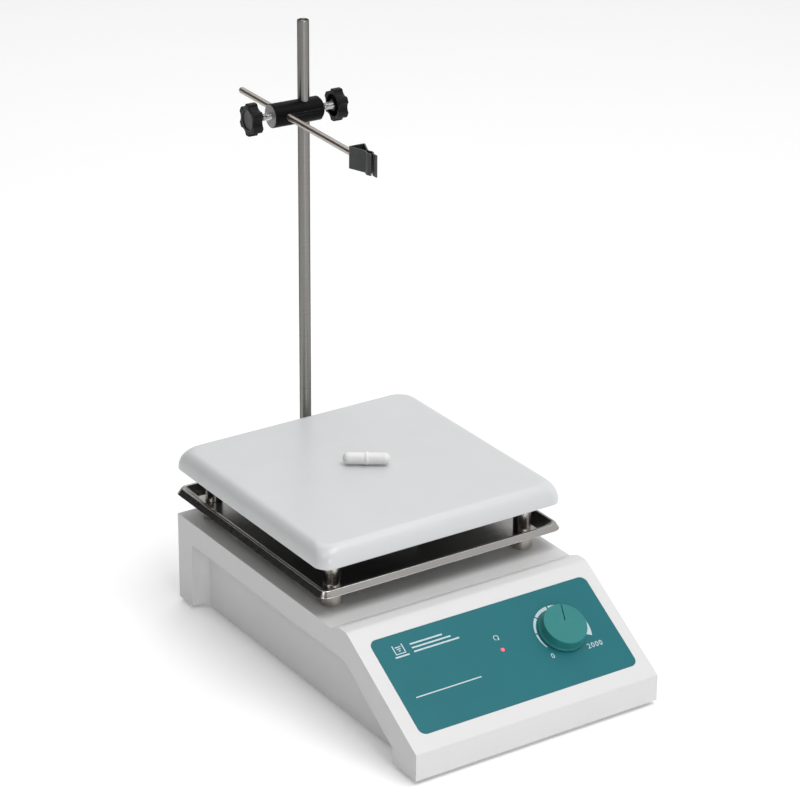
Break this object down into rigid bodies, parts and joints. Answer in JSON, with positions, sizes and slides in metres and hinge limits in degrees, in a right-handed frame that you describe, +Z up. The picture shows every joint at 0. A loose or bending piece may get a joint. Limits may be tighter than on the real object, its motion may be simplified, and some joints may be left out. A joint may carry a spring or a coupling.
{
  "type": "laboratory magnetic stirrer",
  "caption": "Benchtop magnetic stirrer with a white square plate over a drip tray, a sloping control panel with a speed knob, and a support rod with a clamp head and probe clip.",
  "frame": {"origin": "on the bench under the middle of the whole part: the feet stand at z = 0", "axes": "+Z up, +Y to the back wall and the support rod, +X to the right as seen from the front panel"},
  "size_m": [0.1904, 0.3665, 0.395],
  "materials": {
    "housing_plastic": "fine satin moulded",
    "panel_film": "printed teal film, satin",
    "base_steel": "zinc-plated sheet",
    "black_rubber": "soft matt",
    "fastener_steel": "zinc-plated",
    "tray_steel": "bright pressed sheet",
    "spacer_steel": "turned",
    "plate_glaze": "white glossy coating",
    "bar_ptfe": "smooth white",
    "magnet_grey": "sintered, plated",
    "alloy": "machined",
    "motor_steel": "plated",
    "black_plastic": "moulded",
    "bronze": "sintered",
    "laminations": "stacked sheet",
    "copper": "enamelled winding wire",
    "coil_tape": "yellow tape over the winding",
    "carbon": "pressed carbon",
    "knob_teal": "moulded satin",
    "pot_phenolic": "moulded",
    "led_lens": "clear red epoxy",
    "board_green": "solder mask",
    "nylon": "natural nylon",
    "capacitor_sleeve": "shrunk film",
    "heatsink_black": "black anodised",
    "terminal_green": "moulded",
    "wire_red": "PVC insulation",
    "pin_nickel": "nickel-plated",
    "fuse_glass": "clear glass",
    "rod_steel": "ground stainless bar",
    "head_black": "black stoved enamel",
    "knob_black": "moulded",
    "stud_chrome": "plated thread",
    "clip_steel": "dark enamelled spring steel"
  },
  "bodies": {
    "root": {"housing_shell": "housing_plastic", "panel_overlay": "panel_film", "base_plate": "base_steel", "rubber_feet": "black_rubber", "bracket_grommets": "black_rubber", "base_screws": "fastener_steel", "plate_studs": "fastener_steel", "stud_nuts": "fastener_steel", "motor_screws": "fastener_steel", "pot_nut": "fastener_steel", "inlet_screws": "fastener_steel", "bracket_bolts": "fastener_steel", "drip_tray": "tray_steel", "lower_spacers": "spacer_steel", "upper_spacers": "spacer_steel", "ceramic_plate": "plate_glaze", "field_magnets": "magnet_grey", "rod_bracket": "alloy", "motor_can": "motor_steel", "motor_bracket": "motor_steel", "motor_end_cap": "black_plastic", "led_holder": "black_plastic", "power_inlet": "black_plastic", "fuse_holder": "black_plastic", "motor_bearings": "bronze", "transformer_core": "laminations", "transformer_coil": "coil_tape", "motor_brushes": "carbon", "pot_body": "pot_phenolic", "power_led": "led_lens", "control_board": "board_green", "board_standoffs": "nylon", "capacitor": "capacitor_sleeve", "heatsink": "heatsink_black", "terminal_block": "terminal_green", "wiring": "wire_red", "inlet_pins": "pin_nickel", "fuse": "fuse_glass"},
    "rotor": {"motor_shaft": "motor_steel", "rotor_core": "laminations", "rotor_windings": "copper", "commutator": "copper", "magnet_holder": "alloy", "drive_magnets": "magnet_grey", "holder_screw": "fastener_steel"},
    "stir_bar": {"stir_bar": "bar_ptfe", "stir_bar_magnet": "magnet_grey"},
    "speed_knob": {"speed_knob": "knob_teal", "pot_shaft": "fastener_steel"},
    "fuse_cap": {"fuse_cap": "black_plastic"},
    "support_rod": {"support_rod": "rod_steel"},
    "bosshead": {"bosshead": "head_black"},
    "clamp_arm": {"clamp_arm": "rod_steel"},
    "probe_clip": {"probe_clip": "clip_steel"},
    "arm_clamp_screw": {"arm_clamp_screw": "stud_chrome"},
    "arm_clamp_knob": {"arm_clamp_knob": "knob_black"},
    "rod_clamp_screw": {"rod_clamp_screw": "stud_chrome"},
    "rod_clamp_knob": {"rod_clamp_knob": "knob_black"},
    "rod_lock_screw": {"rod_lock_screw": "stud_chrome"},
    "rod_lock_knob": {"rod_lock_knob": "knob_black"}
  },
  "joints": [
    {"name": "rotor_spin", "type": "hinge", "parent": "root", "child": "rotor", "pos_m": [0, 0.019, 0.05], "axis": [0, 0, 1], "continuous": true},
    {"name": "stir_bar_spin", "type": "hinge", "parent": "root", "child": "stir_bar", "pos_m": [0, 0.019, 0.12], "axis": [0, 0, 1], "continuous": true},
    {"name": "speed_knob_turn", "type": "hinge", "parent": "root", "child": "speed_knob", "pos_m": [0.047, -0.13998, 0.04795], "axis": [0, -0.5239, 0.8518], "range_deg": [-112, 148]},
    {"name": "fuse_cap_turn", "type": "hinge", "parent": "root", "child": "fuse_cap", "pos_m": [-0.016, 0.111, 0.033], "axis": [0, 1, 0], "range_deg": [0, 90]},
    {"name": "rod_swivel", "type": "hinge", "parent": "root", "child": "support_rod", "pos_m": [0.017, 0.1238, 0.05], "axis": [0, 0, 1], "continuous": true},
    {"name": "head_slide", "type": "slide", "parent": "support_rod", "child": "bosshead", "axis": [0, 0, 1], "range_m": [-0.195, 0.05]},
    {"name": "arm_slide", "type": "slide", "parent": "bosshead", "child": "clamp_arm", "axis": [-0.0436, -0.999, 0], "range_m": [-0.075, 0.045]},
    {"name": "clip_swivel", "type": "hinge", "parent": "clamp_arm", "child": "probe_clip", "pos_m": [-0.00262, 0.02756, 0.332], "axis": [-0.0436, -0.999, 0], "continuous": true},
    {"name": "arm_clamp_advance", "type": "slide", "parent": "bosshead", "child": "arm_clamp_screw", "axis": [-0.999, 0.0436, 0], "range_m": [0, 0.0012]},
    {"name": "arm_clamp_turn", "type": "hinge", "parent": "arm_clamp_screw", "child": "arm_clamp_knob", "pos_m": [-0.01297, 0.12511, 0.332], "axis": [-0.999, 0.0436, 0], "range_deg": [0, 540]},
    {"name": "rod_clamp_advance", "type": "slide", "parent": "bosshead", "child": "rod_clamp_screw", "axis": [0.999, -0.0436, 0], "range_m": [0, 0.0012]},
    {"name": "rod_clamp_turn", "type": "hinge", "parent": "rod_clamp_screw", "child": "rod_clamp_knob", "pos_m": [0.03299, 0.1231, 0.332], "axis": [0.999, -0.0436, 0], "range_deg": [0, 540]},
    {"name": "rod_lock_advance", "type": "slide", "parent": "root", "child": "rod_lock_screw", "axis": [0, 1, 0], "range_m": [0, 0.0012]},
    {"name": "rod_lock_turn", "type": "hinge", "parent": "rod_lock_screw", "child": "rod_lock_knob", "pos_m": [0.017, 0.137, 0.046], "axis": [0, 1, 0], "range_deg": [0, 540]}
  ],
  "couplings": [
    {"joint": "stir_bar_spin", "follows": "rotor_spin", "ratio": 1},
    {"joint": "arm_clamp_advance", "follows": "arm_clamp_turn", "m_per_rad": 0.00012732},
    {"joint": "rod_clamp_advance", "follows": "rod_clamp_turn", "m_per_rad": 0.00012732},
    {"joint": "rod_lock_advance", "follows": "rod_lock_turn", "m_per_rad": 0.00012732}
  ]
}
